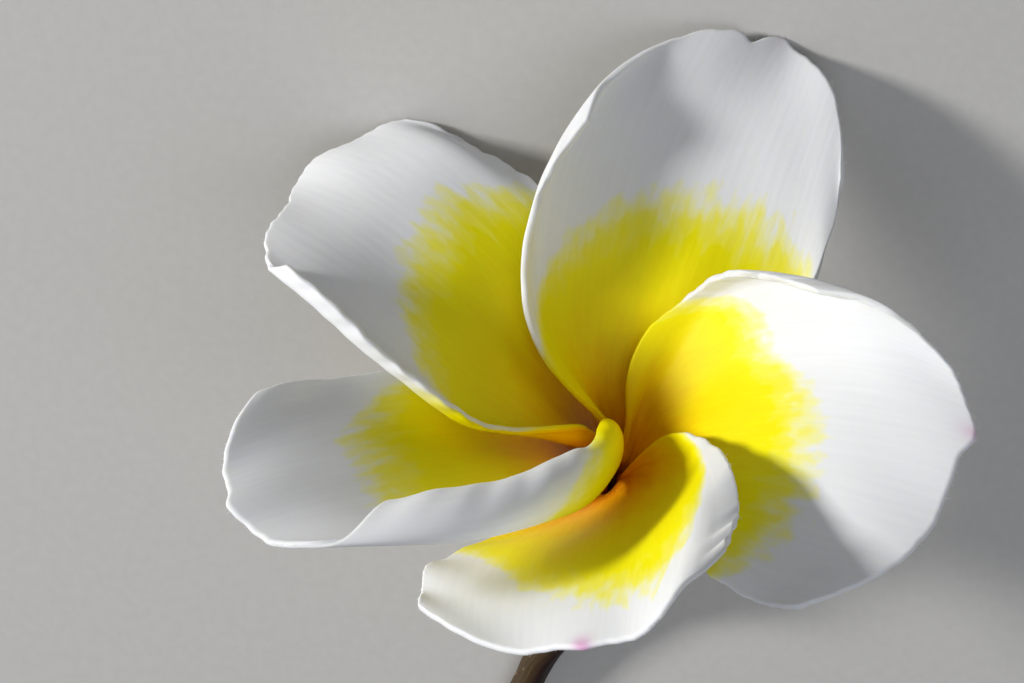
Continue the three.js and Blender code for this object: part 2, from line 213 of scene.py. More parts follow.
def blade(petal, along, side):
    """Middle surface of a petal. reach = along (1 - arch |side|^round + skew side) + apex is
    the place on the midline, and the section is rolled about the heading there. Ripples, the
    soft waves and the bumps of the margin are added along the front normal."""
    share = np.abs(side)

    def halves(name):
        return np.where(side >= 0, petal["over_" + name], petal["under_" + name])

    apex = APEX_LENGTH * np.exp(-(((side - petal["apex_at"]) / APEX_SPREAD) ** 2))
    reach = along * (1 - halves("arch") * share ** halves("round") + petal["skew"] * side)
    reach = np.where(along < 0, along, reach) + apex * ease(along, 0.8, 1)
    for nick_at, nick_depth, nick_spread in petal["nicks"]:
        nick = np.exp(-(((side - nick_at) / nick_spread) ** 2)) * ease(along, 0.93, 1)
        reach = reach - nick_depth * nick
    ragged = waves(petal["seed"] + 1, along * 0, side, (1.2, 5)) * ease(along, 0.9, 1)
    reach = reach + RAG_OF_REACH * petal["rag"] * ragged
    point, ahead = midline(petal, reach)

    level = unit(AXIS - (ahead @ AXIS)[..., None] * ahead)
    flat = np.cross(level, ahead)
    roll = np.radians(lerp(petal["base_roll"], petal["tip_roll"], ease(along, 0, petal["roll_to"])))
    roll = (roll * ease(along, -0.35, 0))[..., None]
    across = np.cos(roll) * flat + np.sin(roll) * level
    front = np.cos(roll) * level - np.sin(roll) * flat

    going = np.maximum(along, 0.0)
    filled = np.sin(math.pi / 2 * (going / halves("peak")) ** halves("fill"))
    filled = filled * ease(along, 0, halves("narrow"))
    base_width = BASE_HALF_WIDTH * lerp(0.7, 1, ease(along, -0.25, 0))
    width = lerp(base_width, halves("width"), filled)
    edge = waves(petal["seed"] + 2, along, side * 0, (1.1, 4)) * share**14 * ease(along, 0.15, 0.3)
    width = width * (1 + RAG_OF_WIDTH * petal["rag"] * edge)
    cup = np.radians(lerp(BASE_CUP, halves("cup"), ease(along, 0, 0.35)))
    eased = ease(along, petal["ease_from"], petal["ease_to"])
    curl = lerp(petal["curl_base"], petal["curl_tip"], eased)
    curl = curl * lerp(petal["curl_start"], 1, ease(along, 0, 0.25))
    curl = np.radians(np.where(side >= 0, curl, 0.0))
    outer_from = lerp(petal["curl_from"], petal["curl_from_tip"], ease(along, 0.35, 1))
    curl_from = lerp(petal["curl_from_base"], outer_from, ease(along, 0.15, 0.55))
    curl_to = lerp(curl_from, 1, petal["curl_span"])
    out, up = cross_section(share, width, cup, curl, curl_from, curl_to)
    point = point + (np.sign(side) * out)[..., None] * across

    phase = petal["ripple_phase"]
    lift = up + RIPPLE * share**6 * ease(along, 0.1, 0.4) * np.sin(2 * math.pi * 3 * along + phase)
    lift = lift + RIPPLE * ease(along, 0.8, 1) * np.sin(2 * math.pi * 1.3 * side + phase)
    for height, wave_along, wave_side, spread in petal["waves"]:
        away = (along - wave_along) ** 2 + (side - wave_side) ** 2
        lift = lift + height * np.exp(-away / spread**2)
    open_blade = ease(along, 0.15, 0.4)
    lift = lift + SOFT_WAVE * waves(petal["seed"] + 3, along, side, (7, 18)) * open_blade
    crimp = waves(petal["seed"] + 4, along, side * 0.15, CRIMP_LENGTHS) * ease(side, 0.75, 1)
    lift = lift + CRIMP * petal["crimp"] * crimp * open_blade
    return point + front * lift[..., None]


# %% [markdown]
# ## Five petals
#
# Plumeria petals are alike, but each opens a little differently and no two of them curl the
# same, so the petals share most of their numbers and differ in the rest. The widths, turns and
# rises are those of the solids, but petal_3's over margin is rounder here, so that the fine
# blade folds less into itself. The blades of petals 2, 3 and 4 still fold a little into
# themselves near their margins. Rag, crimp, blush, nicks and seeds belong to the skin alone. A
# nick of negative depth is a lobe, such as the one on petal_5's tip. The gold row too is the
# skin's: how far up the petal its yellow heart reaches, at even places from the under margin to
# the over margin, on the front and on the back.

# %% Petal sizes and angles
PETAL = dict(base_rise=80, base_reach=9, tip_rise=10, tip_reach=16,
             base_roll=32, tip_roll=6, roll_to=0.5,
             over_peak=0.76, under_peak=0.76, over_fill=1.1, under_fill=1.1,
             over_narrow=0.25, under_narrow=0.1, over_cup=45, under_cup=15,
             curl_base=110, curl_tip=50, curl_start=0.4, curl_span=0.5, ease_from=0.3, ease_to=0.9,
             curl_from_base=0.84, curl_from=0.84, curl_from_tip=0.84,
             over_arch=0.2, under_arch=0.2, over_round=2.8, under_round=2.8, skew=0, apex_at=0,
             ripple_phase=0, waves=[], nicks=[], rag=1.0, crimp=1.0, blush=0.0)

PETALS = {
    "petal_1": dict(PETAL, heading=65.5, radius=38, height=25,
                    over_width=18.2, under_width=13.5, under_peak=0.72, under_fill=0.75,
                    curl_base=180, curl_tip=60, curl_start=0.25, curl_span=0.55,
                    ease_from=0.03, ease_to=0.45, curl_from_base=0.5,
                    over_arch=0.26, under_arch=0.26, over_round=2.5, under_round=2.5,
                    skew=-0.04, apex_at=-0.08, nicks=[(0.1, 0.02, 0.05)], blush=0.2,
                    gold=(0.72, 0.7, 0.67, 0.66, 0.66, 0.63, 0.62, 0.55, 0.42),
                    back_gold=(0.3, 0.4, 0.45, 0.42, 0.42)),
    "petal_2": dict(PETAL, heading=-24, radius=34.8, height=24, base_rise=76, tip_rise=5,
                    base_roll=30, tip_roll=12, over_width=17, under_width=19,
                    over_peak=0.7, under_peak=0.95, over_fill=0.95, under_fill=1.5,
                    under_cup=5, curl_base=170, curl_tip=60, curl_start=0.25, curl_span=0.55,
                    ease_from=0.08, ease_to=0.45, curl_from_base=0.55,
                    over_arch=0.3, under_arch=0.22, under_round=3.6, skew=-0.02, apex_at=0.15,
                    ripple_phase=1, blush=0.45,
                    gold=(0.72, 0.73, 0.71, 0.7, 0.69, 0.64, 0.57, 0.58, 0.5),
                    back_gold=(0.3, 0.4, 0.45, 0.42, 0.4)),
    "petal_3": dict(PETAL, heading=-95, radius=34.8, height=24, base_rise=54, base_reach=10,
                    tip_rise=25, base_roll=38, tip_roll=30, over_width=15, under_width=18.5,
                    over_peak=0.8, over_fill=0.9, under_fill=0.7, over_cup=30, under_cup=20,
                    curl_base=20, curl_tip=-50,
                    curl_from_base=0.7, curl_from=0.7, curl_from_tip=0.7,
                    over_arch=0.24, under_arch=0.16, over_round=4, under_round=3,
                    skew=0.13, apex_at=-0.02, ripple_phase=2, blush=0.9,
                    gold=(0.42, 0.52, 0.68, 0.78, 0.85, 0.88, 0.88, 0.77, 0.33),
                    back_gold=(0.3, 0.4, 0.45, 0.35, 0.25)),
    "petal_4": dict(PETAL, heading=-150, radius=40, height=22, base_roll=15, roll_to=0.8,
                    over_narrow=0.3, over_width=23.5, under_width=12.5,
                    over_peak=0.6, under_peak=0.82, over_fill=1, under_fill=0.65,
                    over_cup=58, under_cup=20, curl_base=170, curl_tip=170, curl_start=0.6,
                    curl_span=1, curl_from_base=0.25, curl_from=0.55, curl_from_tip=0.72,
                    under_arch=0.15, apex_at=-0.1, ripple_phase=3, crimp=2.2,
                    gold=(0.55, 0.66, 0.72, 0.72, 0.74, 0.76, 0.76, 0.7, 0.5),
                    back_gold=(0.3, 0.42, 0.5, 0.7, 0.5)),
    "petal_5": dict(PETAL, heading=141, radius=38.6, height=15, tip_rise=-30, tip_reach=18,
                    tip_roll=4, over_width=18.2, under_width=14.5, over_fill=0.95, under_fill=1.2,
                    over_cup=30, under_cup=10, curl_base=190, curl_tip=70, curl_start=0.25,
                    ease_from=0.06, ease_to=0.5,
                    curl_from_base=0.5, curl_from=0.86, curl_from_tip=0.86,
                    over_arch=0.12, under_arch=0.12, skew=-0.07, apex_at=0.1, ripple_phase=4,
                    waves=[(-3.5, 0.82, -1, 0.16)], rag=2.4, nicks=[(-0.12, -0.045, 0.24)],
                    gold=(0.6, 0.65, 0.7, 0.72, 0.71, 0.69, 0.66, 0.58, 0.38),
                    back_gold=(0.3, 0.42, 0.48, 0.56, 0.6)),
}
FIRST_BASE = 58
PETAL_STEP = -72
for order, petal in enumerate(PETALS.values()):
    petal["base_angle"] = FIRST_BASE + PETAL_STEP * order
    petal["seed"] = 100 * (order + 1)

# %% [markdown]
# ## From a surface to a closed blade
#
# A sheet with no thickness lets light through wrongly and shows a knife edge. The blade gets a
# front and a back, half a thickness to each side of the middle surface, and the two meet in a
# round rim: near the margin the thickness falls off as a half circle does. Rows and columns
# crowd together there so that the round shows. A petal's Solidify modifier would do nearly the
# same, but with a square rim.

# %% Closed blade mesh
BLADE_ROWS = 190
BLADE_COLUMNS = 144
HALF_THICKNESS = 0.35
RIM_ROUND = 0.4
CLAW_FROM = -0.22
VEIN_RELIEF = 0.02
BACK_VEINS = -0.6
VEIN_GAP = 1.3
FINE_VEIN_GAP = 0.55
BLUSH_LENGTH = 0.03
BLUSH_WIDTH = 0.055


def crowded(even, pull=0.8):
    """A blend of even steps and sin(90 degrees * step), whose steps shorten towards 1."""
    return lerp(even, np.sin(math.pi / 2 * even), pull)


def rim_round(distance):
    """Height of a half circle of radius RIM_ROUND at a distance from its rim, over its top."""
    inside = 1 - np.clip(distance / RIM_ROUND, 0, 1)
    return np.sqrt(np.maximum(1 - inside * inside, 0))


def mesh_object(name, points, faces, smooth=True):
    """A mesh object at the origin from points in millimetres of the bloom's frame."""
    mesh = bpy.data.meshes.new(name)
    mesh.from_pydata((laid_down(points) * MM).reshape(-1, 3), [], faces.tolist())
    mesh.polygons.foreach_set("use_smooth", np.full(len(mesh.polygons), smooth))
    obj = bpy.data.objects.new(name, mesh)
    bpy.context.scene.collection.objects.link(obj)
    return obj


def grid_faces(index):
    """The quads of a grid of vertex numbers, each running ahead, then left, then back."""
    corners = [index[:-1, :-1], index[1:, :-1], index[1:, 1:], index[:-1, 1:]]
    return np.stack(corners, -1).reshape(-1, 4)


def point_attribute(obj, name, values):
    """Stores one number per vertex, which a material reads by its name."""
    layer = obj.data.attributes.new(name, "FLOAT", "POINT")
    layer.data.foreach_set("value", values.astype(np.float32).ravel())


def uv_layer(obj, name, per_vertex):
    """Stores two numbers per vertex as a UV map, copied to each face corner."""
    corners = np.empty(len(obj.data.loops), np.int32)
    obj.data.loops.foreach_get("vertex_index", corners)
    layer = obj.data.uv_layers.new(name=name)
    layer.data.foreach_set("uv", per_vertex[corners].astype(np.float32).ravel())


def closed_blade(name, petal):
    """Front and back grids that share the vertices of their rim."""
    rows = np.linspace(0, 1, BLADE_ROWS + 1)
    columns = crowded(np.linspace(-1, 1, BLADE_COLUMNS + 1))
    along = lerp(CLAW_FROM, 1, crowded(rows))[:, None] + 0 * columns
    side = 0 * along + columns
    middle = blade(petal, along, side)
    normal = unit(np.cross(np.gradient(middle, axis=0), np.gradient(middle, axis=1)))
    sideways = np.linalg.norm(np.diff(middle, axis=1), axis=-1)
    from_under = np.concatenate([0 * along[:, :1], np.cumsum(sideways, axis=1)], axis=1)
    to_margin = np.minimum(from_under, from_under[:, -1:] - from_under)
    to_tip = (1 - along) * LENGTH_MM
    to_base = (along - CLAW_FROM) * LENGTH_MM
    half = HALF_THICKNESS * rim_round(to_margin) * rim_round(to_tip) * rim_round(to_base)

    veins = vein_relief(petal, along, side)
    front = middle + normal * (half + np.minimum(half, 1) * veins)[..., None]
    back = middle - normal * (half + np.minimum(half, 1) * BACK_VEINS * veins)[..., None]

    count = along.size
    front_index = np.arange(count).reshape(along.shape)
    back_index = front_index + count
    back_index[0], back_index[-1] = front_index[0], front_index[-1]
    back_index[:, 0], back_index[:, -1] = front_index[:, 0], front_index[:, -1]
    faces = np.concatenate([grid_faces(front_index), grid_faces(back_index)[:, ::-1]])
    used, faces = np.unique(faces, return_inverse=True)
    faces = faces.reshape(-1, 4)

    both = np.concatenate([front.reshape(-1, 3), back.reshape(-1, 3)])[used]
    obj = mesh_object(name, both, faces)
    place = np.stack([side * HALF_WIDTH_MM, along * LENGTH_MM], -1).reshape(-1, 2)
    place = np.concatenate([place, place])[used]
    front_gold, back_gold = gold_reach(petal, along, side)
    point_attribute(obj, "gold", np.concatenate([front_gold.ravel(), back_gold.ravel()])[used])
    point_attribute(obj, "blush", np.tile(apex_blush(petal, along, side).ravel(), 2)[used])
    uv_layer(obj, "blade", place)
    return obj


def vein_relief(petal, along, side):
    """Millimetres of fine ribs that fan out with the blade, fainter towards its edge."""
    fan = side * HALF_WIDTH_MM + 1.2 * waves(petal["seed"] + 5, along, side, (12, 30))
    turn = fan * 2 * math.pi
    ribs = np.sin(turn / VEIN_GAP) * 0.6 + np.sin(turn / FINE_VEIN_GAP + 1) * 0.4
    return VEIN_RELIEF * ribs * ease(along, 0.1, 0.3) * (1 - ease(np.abs(side), 0.8, 1))


def gold_reach(petal, along, side):
    """Along over the yellow heart's reach at that side, so that the heart ends at 1. The back
    of a petal is yellow for less of its length."""
    limit = np.interp(side, np.linspace(-1, 1, len(petal["gold"])), petal["gold"])
    back_limit = np.interp(side, np.linspace(-1, 1, len(petal["back_gold"])), petal["back_gold"])
    return along / limit, along / back_limit


def apex_blush(petal, along, side):
    """strength * exp(-(distance from the apex / spread)^2)."""
    away = ((along - 1) / BLUSH_LENGTH) ** 2 + ((side - petal["apex_at"]) / BLUSH_WIDTH) ** 2
    return petal["blush"] * np.exp(-away)


petal_objects = {}
for name, petal in PETALS.items():
    obj = closed_blade(name + "_blade", petal)
    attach(obj, "root")
    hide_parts(name)
    petal_objects[name] = obj
    print(name, "has", len(obj.data.polygons) * 2, "triangles")

# %% [markdown]
# ## Tube, stamens and pistil
#
# The petals are one with a slim tube. It is a profile spun about the axis, and near its mouth
# it flares out to take the petals in. Their feet run on down its wall, and stand out of it by
# up to 0.4 mm, so that they show outside as brown straps. Five soft ridges run down the tube,
# one below each petal, and they turn a little. Deep inside stand five stamens on the wall, just
# above the pistil. They can hardly be seen.

# %% Spun surfaces
RINGS_A_SPAN = 6


def smoothed(corners, steps):
    """A Catmull-Rom curve through the corners a, b, c, d and so on, with steps points a span:
    between b and c it is (2b + (c - a) t + (2a - 5b + 4c - d) t^2 + (3b - a - 3c + d) t^3) / 2."""
    corners = np.array(corners, float)
    padded = np.vstack([2 * corners[0] - corners[1], corners, 2 * corners[-1] - corners[-2]])
    t = np.linspace(0, 1, steps + 1)[:-1, None]
    spans = []
    for a, b, c, d in zip(padded[:-3], padded[1:-2], padded[2:-1], padded[3:]):
        spans.append(0.5 * (2 * b + (c - a) * t + (2 * a - 5 * b + 4 * c - d) * t**2
                            + (3 * b - a - 3 * c + d) * t**3))
    return np.vstack([*spans, corners[-1:]])


def spun(profile, sides):
    """A smoothed profile of [height, radius] pairs, turned about the axis. Returns the grid's
    heights, radii and angles."""
    line = smoothed(profile, RINGS_A_SPAN)
    angle = np.linspace(0, 2 * math.pi, sides, endpoint=False)
    height = line[:, :1] + 0 * angle
    return height, np.maximum(line[:, 1:], 0) + 0 * angle, angle + 0 * line[:, :1]


def ring_faces(rings, sides):
    """Quads between rings of vertices, with the last side joined to the first."""
    index = np.arange(rings * sides).reshape(rings, sides)
    return grid_faces(np.hstack([index, index[:, :1]]))


def around_axis(height, radius, angle):
    """(radius cos a, radius sin a, height)."""
    return np.stack([radius * np.cos(angle), radius * np.sin(angle), height], -1)


TUBE_PROFILE = [[-19.3, 1.5], [-19.35, 1.8], [-19.3, 2.1], [-17.5, 2.2], [-15, 2.05],
                [-10, 2.05], [-5.5, 2.35], [-3, 2.85], [-1.9, 3.2], [-1.2, 3.3], [-1.1, 3.0],
                [-1.7, 2.2], [-3, 1.5], [-5, 1.2], [-10, 1.2], [-15.5, 1.35], [-17.4, 1.5],
                [-19.3, 1.5]]
TUBE_OUTER_SPANS = 10
TUBE_SIDES = 120
TUBE_MEAN_RADIUS = 2.1
RIDGE_COUNT = 5
RIDGE_HEIGHT = 0.09
RIDGE_TWIST = 0.12
height, radius, angle = spun(TUBE_PROFILE, TUBE_SIDES)
outside = np.zeros_like(height)
outside[: len(height) * TUBE_OUTER_SPANS // (len(TUBE_PROFILE) - 1)] = 1
ridge = np.cos(RIDGE_COUNT * (angle - math.radians(FIRST_BASE)) + RIDGE_TWIST * height)
radius = radius + RIDGE_HEIGHT * ridge * outside * ease(height, -17.5, -10)
tube_faces = ring_faces(*height.shape)[:, ::-1]
tube = mesh_object("corolla_tube_skin", around_axis(height, radius, angle), tube_faces)
point_attribute(tube, "height", (height - height.min()) / (height.max() - height.min()))
uv_layer(tube, "skin", np.stack([height, angle * TUBE_MEAN_RADIUS], -1).reshape(-1, 2))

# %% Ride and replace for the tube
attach(tube, "root")
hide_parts("corolla_tube")
print("the tube is", round(float(height.max() - height.min()), 1), "mm long")

# %% [markdown]
# The stamens are small grains on the tube's wall and the pistil is a stub below them. Both are
# spun like the tube, with few sides, since they are only a millimetre or two across.

# %% Stamens and pistil
STAMEN_PROFILE = [[-15.6, 0], [-15.5, 0.22], [-15, 0.34], [-14.2, 0.38], [-13.4, 0.3],
                  [-13, 0.12], [-12.9, 0]]
PISTIL_PROFILE = [[-19.6, 0], [-19.5, 0.8], [-18.8, 1.1], [-17.9, 0.95], [-17.2, 0.5],
                  [-16.7, 0.55], [-16.2, 0.35], [-16, 0]]
STAMEN_COUNT = 5
STAMEN_RING_RADIUS = 1.1
SMALL_SIDES = 24

height, radius, angle = spun(STAMEN_PROFILE, SMALL_SIDES)
groove = 1 - 0.25 * np.exp(-((np.cos(angle) + 1) / 0.15) ** 2)
grain = around_axis(height, radius * groove, angle)
turns = np.radians(np.arange(STAMEN_COUNT) * 360 / STAMEN_COUNT)
ring = np.stack([np.cos(turns), np.sin(turns)], -1) * STAMEN_RING_RADIUS
cos_turn = np.cos(turns)[:, None, None]
sin_turn = np.sin(turns)[:, None, None]
grains = np.stack([
    grain[..., 0] * cos_turn - grain[..., 1] * sin_turn + ring[:, 0, None, None],
    grain[..., 0] * sin_turn + grain[..., 1] * cos_turn + ring[:, 1, None, None],
    grain[..., 2] + 0 * cos_turn], -1)
one_grain = ring_faces(*height.shape)
all_grains = np.concatenate([one_grain + i * height.size for i in range(STAMEN_COUNT)])
stamens = mesh_object("stamens", grains, all_grains)

height, radius, angle = spun(PISTIL_PROFILE, SMALL_SIDES)
pistil = mesh_object("pistil_stub", around_axis(height, radius, angle), ring_faces(*height.shape))

for obj, node, slot in [(stamens, "corolla_tube", "tube_yellow"), (pistil, "pistil", "pistil_green")]:
    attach(obj, "root")
    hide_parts(node)

# %% [markdown]
# ## Calyx
#
# The calyx is a green cup with five short rounded lobes that hug the tube. Its profile is spun
# as the tube's is, and the rim is then lifted by |cos(2.5 a)|^0.8, with five humps in a turn.

# %% Calyx
CALYX_PROFILE = [[-20.9, 0], [-20.92, 0.8], [-20.85, 1.5], [-20.5, 2.2], [-19.6, 2.8],
                 [-18.2, 3.05], [-17.1, 3.0], [-16.85, 2.8], [-17.1, 2.6], [-18.2, 2.5],
                 [-19.4, 2.4], [-20.05, 1.9], [-20.05, 0]]
CALYX_LOBES = 5
CALYX_SIDES = 120
LOBE_HEIGHT = 1.6
CUP_FOLD = 0.05

height, radius, angle = spun(CALYX_PROFILE, CALYX_SIDES)
lobe = np.abs(np.cos(CALYX_LOBES / 2 * angle)) ** 0.8
rising = ease(height, -19, -16.9)
fold = CUP_FOLD * np.cos(2 * CALYX_LOBES * angle) * ease(radius, 1, 2.5) * (1 - rising)
radius = radius * (1 - 0.02 * (1 - lobe) * rising) + fold
height = height + LOBE_HEIGHT * lobe * rising
calyx = mesh_object("calyx_cup", around_axis(height, radius, angle), ring_faces(*height.shape))
point_attribute(calyx, "flush", rising * 0.6)
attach(calyx, "root")
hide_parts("calyx")
print("the calyx has", CALYX_LOBES, "lobes")

# %% [markdown]
# ## Stalk
#
# The stalk is a round section carried along a curve. To carry it without a twist, each ring
# starts from one fixed direction, made square to the curve. The skin is not smooth: shallow
# lengthwise wrinkles run down it, and it is swollen below the calyx. At its cut end the pith
# has sunk a little below the skin.

# %% Stalk
STALK_PATH = [[0, 0, -20.6], [0, 0, -21.4], [-0.1, 0, -22.8], [-1.3, -0.4, -25.2],
              [-3.7, -1.4, -28.2], [-6.4, -2.7, -31.2], [-8.2, -4.4, -35], [-9.4, -5.9, -37.5]]
STALK_RADIUS_TOP = 2.2
STALK_RADIUS = 1.65
STALK_RINGS = 160
STALK_SIDES = 72
STEPS_A_SPAN = 40
TEXTURE_LENGTH = 18.0
WRINKLE = 0.012
SWELLING = 0.02
PITH_SUNK = 0.25


def through(points, count):
    """Count points at even spacing on a Catmull-Rom curve through the given ones."""
    line = smoothed(points, STEPS_A_SPAN)
    walked = np.concatenate([[0], np.cumsum(np.linalg.norm(np.diff(line, axis=0), axis=1))])
    even = np.linspace(0, walked[-1], count)
    return np.stack([np.interp(even, walked, line[:, i]) for i in range(3)], -1)


def swept(path, radius, angle):
    """path + radius (across cos a + around sin a), with across and around square to the path."""
    ahead = unit(np.gradient(path, axis=0))
    across = unit(np.cross(ahead, np.array([0.3, 1.0, 0.1])))
    around = np.cross(ahead, across)
    return (path[:, None] + (radius * np.cos(angle))[..., None] * across[:, None]
            + (radius * np.sin(angle))[..., None] * around[:, None])


path = through(STALK_PATH, STALK_RINGS)
share = np.linspace(0, 1, STALK_RINGS)[:, None]
angle = np.linspace(0, 2 * math.pi, STALK_SIDES, endpoint=False)[None]
radius = lerp(STALK_RADIUS_TOP, STALK_RADIUS, ease(share, 0.03, 0.28)) + 0 * angle
broad_wrinkle = np.sin(9 * angle + 2 * np.sin(7 * share))
fine_wrinkle = 0.7 * np.sin(17 * angle + 5 * np.sin(4 * share) + 1)
wrinkle = WRINKLE * (broad_wrinkle + fine_wrinkle) * ease(share, 0.02, 0.1)
radius = radius * (1 + wrinkle + SWELLING * np.sin(21 * share + np.sin(angle)))
skin = swept(path, radius, angle)

cap_steps = np.linspace(1, 0, 9)[1:, None]
cap_lift = 0.12 * np.sin(cap_steps * math.pi) + 0.25 * ease(cap_steps, 0.85, 1)
ahead = unit(path[-1] - path[-2])
end_ring = skin[-1] - path[-1]
cap_lift = cap_lift - PITH_SUNK
end_cap = path[-1] + end_ring[None] * cap_steps[..., None] + ahead * cap_lift[..., None]
top_cap = path[0] + (skin[0] - path[0])[None] * np.linspace(0, 1, 4)[:-1, None, None]
stalk_points = np.concatenate([top_cap, skin, end_cap])
stalk = mesh_object("pedicel_skin", stalk_points, ring_faces(*stalk_points.shape[:2])[:, ::-1])
cut = np.zeros(stalk_points.shape[:2])
cut[-len(cap_steps):] = 1
point_attribute(stalk, "cut", cut)
point_attribute(stalk, "olive", 0.5 * ease(np.cos(angle - 2.4), 0.1, 0.9) + 0 * cut)
run = np.linspace(0, 1, stalk_points.shape[0])[:, None] * TEXTURE_LENGTH
unrolled = np.stack([run + 0 * angle, angle * STALK_RADIUS + 0 * run], -1)
uv_layer(stalk, "skin", unrolled.reshape(-1, 2))
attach(stalk, "root")
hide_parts("pedicel")

# %% [markdown]
# ## Fine hairs
#
# Tiny hairs stand on the far margins of the petals, and they catch the light there. They are
# thicker here than real ones, or they would vanish. A hair is a three-sided spike of four
# rings that bends as it goes, and all of a petal's hairs are one mesh.

# %% Margin hairs
HAIRS_PER_PETAL = 110
HAIR_RADIUS = 0.028
HAIR_RINGS = 4
HAIR_SIDES = 3
SHARE_ON_TIP = 0.7


def margin_hairs(name, petal):
    """root - 0.1 out + length (heading s + bend s^2), with a radius of r (1.02 - s). Heading
    and bend are random, and s runs from 0 to 1."""
    rng = np.random.default_rng(petal["seed"] + 7)
    spot = rng.uniform(-1, 1, HAIRS_PER_PETAL)
    on_end = np.abs(spot) < SHARE_ON_TIP
    side = np.where(on_end, spot / SHARE_ON_TIP, np.sign(spot))
    down_margin = (np.abs(spot) - SHARE_ON_TIP) / (1 - SHARE_ON_TIP)
    along = np.where(on_end, 1.0, 1 - down_margin * 0.45)
    root = blade(petal, along, side)
    inner = blade(petal, along - 0.02, side * 0.98)
    out = unit(root - inner)
    skew = unit(rng.normal(size=root.shape))
    heading = unit(out + 0.55 * skew)
    bend = unit(rng.normal(size=root.shape)) * 0.25
    length = rng.uniform(0.18, 0.6, HAIRS_PER_PETAL)[:, None, None]
    steps = np.linspace(0, 1, HAIR_RINGS)[None, :, None]
    growth = heading[:, None] * steps + bend[:, None] * steps**2
    line = root[:, None] - 0.1 * out[:, None] + length * growth
    across = unit(np.cross(heading, AXIS))
    around = np.cross(heading, across)
    angle = np.linspace(0, 2 * math.pi, HAIR_SIDES, endpoint=False)
    ring = np.cos(angle)[:, None] * across[:, None] + np.sin(angle)[:, None] * around[:, None]
    radius = HAIR_RADIUS * (1.02 - steps[..., None])
    points = line[:, :, None] + ring[:, None] * radius
    one = ring_faces(HAIR_RINGS, HAIR_SIDES)
    faces = np.concatenate([one + HAIR_RINGS * HAIR_SIDES * i for i in range(HAIRS_PER_PETAL)])
    return mesh_object(name, points, faces)


hair_objects = []
for name, petal in PETALS.items():
    obj = margin_hairs(name + "_hairs", petal)
    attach(obj, "root")
    hair_objects.append(obj)
print(HAIRS_PER_PETAL, "hairs on each petal")

# %% [markdown]
# ## Colours and nodes
#
# Colours are picked as sRGB hex values, as on a colour chart, and a material wants them
# linear. One function turns them. Another adds a node with its options and its inputs, which
# are values or the outputs of other nodes. The short ones after it add the kinds of node that
# every material here needs, and each returns the socket to build on.

# %% Colour and node helpers
def linear(code):
    """An sRGB hex colour as linear red, green, blue and alpha."""
    parts = [int(code[i:i + 2], 16) / 255 for i in (1, 3, 5)]
    return tuple(((c + 0.055) / 1.055) ** 2.4 if c > 0.04045 else c / 12.92 for c in parts) + (1.0,)


def add(tree, kind, inputs=None, stops=None, **options):
    """A new node of a kind. inputs gives sockets a value or links an output to them, and stops
    are the places and colours of a colour ramp."""
    made = tree.nodes.new(kind)
    for option, value in options.items():
        setattr(made, option, value)
    for socket, value in (inputs or {}).items():
        if isinstance(value, bpy.types.NodeSocket):
            tree.links.new(value, made.inputs[socket])
        else:
            made.inputs[socket].default_value = value
    for i, (place, colour) in enumerate(stops or []):
        elements = made.color_ramp.elements
        element = elements[i] if i < 2 else elements.new(place)
        element.position = place
        element.color = linear(colour)
    return made


def new_material(name):
    """A material with an empty node tree, and that tree."""
    material = bpy.data.materials.new(name)
    material.use_nodes = True
    material.node_tree.nodes.clear()
    return material, material.node_tree


def stored(tree, name):
    """The number that point_attribute stored under this name."""
    return add(tree, "ShaderNodeAttribute", attribute_name=name).outputs["Fac"]


def unwrapped(tree, name):
    """The place on a UV map, roughly in millimetres."""
    return add(tree, "ShaderNodeUVMap", uv_map=name).outputs["UV"]


def in_object(tree):
    """The place in the object's own metres."""
    return add(tree, "ShaderNodeTexCoord").outputs["Object"]


def noise(tree, place, scale, detail):
    """Cloudy noise whose clouds are about 1 / scale across."""
    inputs = {"Vector": place, "Scale": scale, "Detail": detail}
    return add(tree, "ShaderNodeTexNoise", inputs).outputs["Fac"]


def drawn_out(tree, place, width, length, detail):
    """Noise whose clouds are this wide and this long, in the units of the place."""
    inputs = {"Vector": place, "Scale": (1 / width, 1 / length, 1)}
    return noise(tree, add(tree, "ShaderNodeMapping", inputs).outputs[0], 1.0, detail)


def added(tree, value, weight, to):
    """value * weight + to."""
    inputs = {0: value, 1: weight, 2: to}
    return add(tree, "ShaderNodeMath", inputs, operation="MULTIPLY_ADD").outputs[0]


def ramp(tree, value, stops):
    """The colour at a value, between stops that each have a place and a colour."""
    return add(tree, "ShaderNodeValToRGB", {"Fac": value}, stops=stops).outputs["Color"]


def painted(tree, share, under, over, blend="MIX"):
    """under with a share of over painted on it."""
    inputs = {0: share, 6: under, 7: over}
    return add(tree, "ShaderNodeMix", inputs, data_type="RGBA", blend_type=blend).outputs[2]


def relief(tree, height, strength, depth):
    """A normal tilted by a height that is this many millimetres deep."""
    inputs = {"Height": height, "Strength": strength, "Distance": depth * MM}
    return add(tree, "ShaderNodeBump", inputs).outputs[0]


def finish(material, objects, inputs):
    """A Principled shader with these inputs on the material, and the material on objects."""
    tree = material.node_tree
    shader = add(tree, "ShaderNodeBsdfPrincipled", inputs)
    add(tree, "ShaderNodeOutputMaterial", {"Surface": shader.outputs[0]})
    for obj in objects:
        obj.data.materials.append(material)


# %% [markdown]
# ## Petal wax
#
# A plumeria petal is a thick, soft leaf under a thin skin of wax. It shines a little, and light
# goes some way into it and comes out again, so shadows on it are warm and thin edges glow.
# The heart of the petal is lemon yellow and turns orange and then brown down in the throat.
# Towards the tip it breaks up into white along the veins, in small teeth. The heart's reach is
# stored on the blade, and noise stretched along the blade makes its teeth and streaks.

